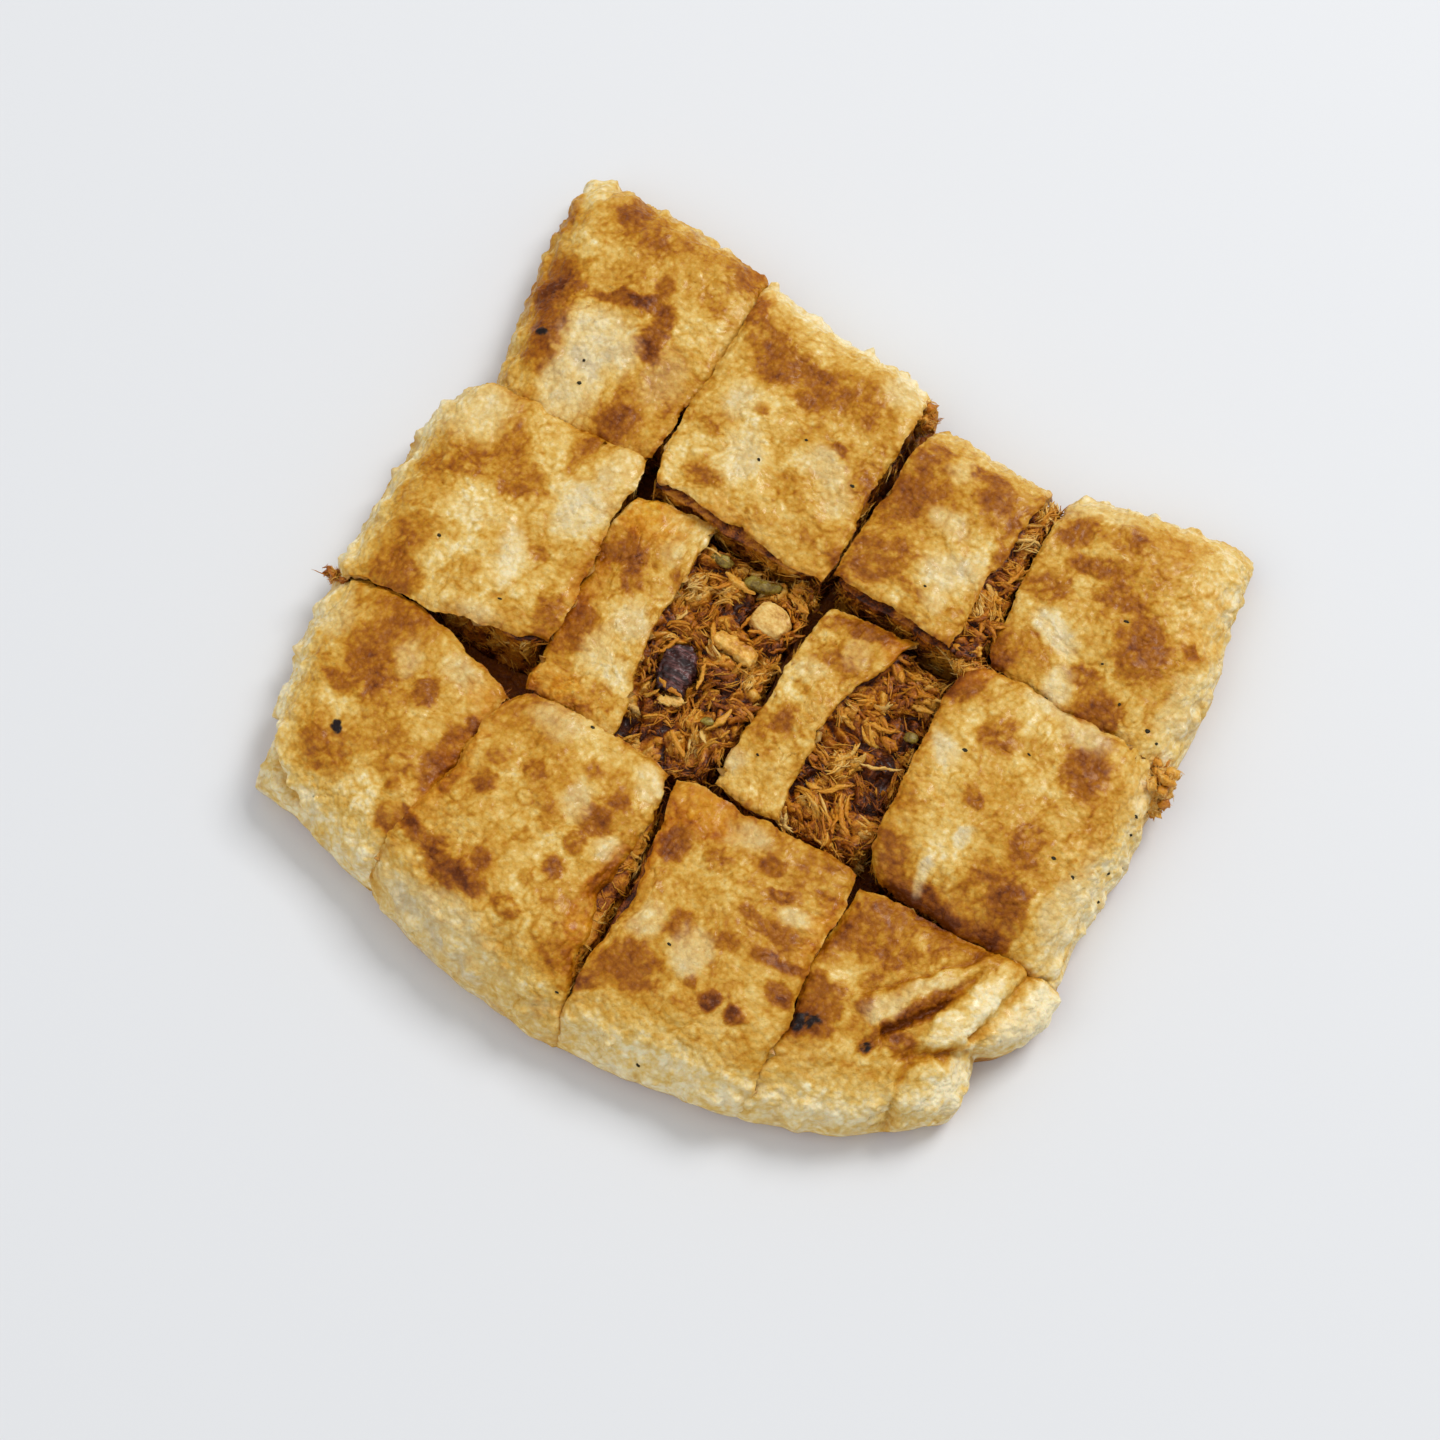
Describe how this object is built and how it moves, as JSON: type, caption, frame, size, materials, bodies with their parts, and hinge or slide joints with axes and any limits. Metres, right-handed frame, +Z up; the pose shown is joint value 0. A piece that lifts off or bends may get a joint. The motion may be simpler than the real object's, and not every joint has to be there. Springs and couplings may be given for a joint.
{
  "type": "murtabak",
  "caption": "Stuffed pan-fried flatbread cut into squarish slices that keep the whole's shape, with shredded meat filling laid open in the middle.",
  "frame": {"origin": "middle of the footprint, on the surface the bread rests on", "axes": "+X along the four columns of slices from left to right, +Y from the near row to the far row, +Z up out of the fried top"},
  "size_m": [0.198, 0.1936, 0.0236],
  "materials": {
    "fried_dough": "fried wheat dough, oily, cream to golden brown with dark spots",
    "filling": "moist shredded meat and onion in turmeric-orange egg",
    "chicken": "moist cooked chicken",
    "onion": "glossy browned red onion",
    "chilli": "glossy cooked green chilli"
  },
  "bodies": {
    "root": {"crust_a1": "fried_dough", "filling_a1": "filling", "crust_a2": "fried_dough", "filling_a2": "filling", "crust_a3": "fried_dough", "filling_a3": "filling", "crust_a4": "fried_dough", "filling_a4": "filling", "crust_b1": "fried_dough", "filling_b1": "filling", "crust_b2_lid": "fried_dough", "crust_b2_base": "fried_dough", "filling_b2": "filling", "crust_b3_lid": "fried_dough", "crust_b3_base": "fried_dough", "filling_b3": "filling", "crust_b4": "fried_dough", "filling_b4": "filling", "crust_c1": "fried_dough", "filling_c1": "filling", "crust_c2": "fried_dough", "filling_c2": "filling", "crust_c3": "fried_dough", "filling_c3": "filling", "crust_c4": "fried_dough", "filling_c4": "filling", "chicken_cube": "chicken", "chicken_strip": "chicken", "onion_petal": "onion", "chilli_slice": "chilli"}
  },
  "joints": []
}
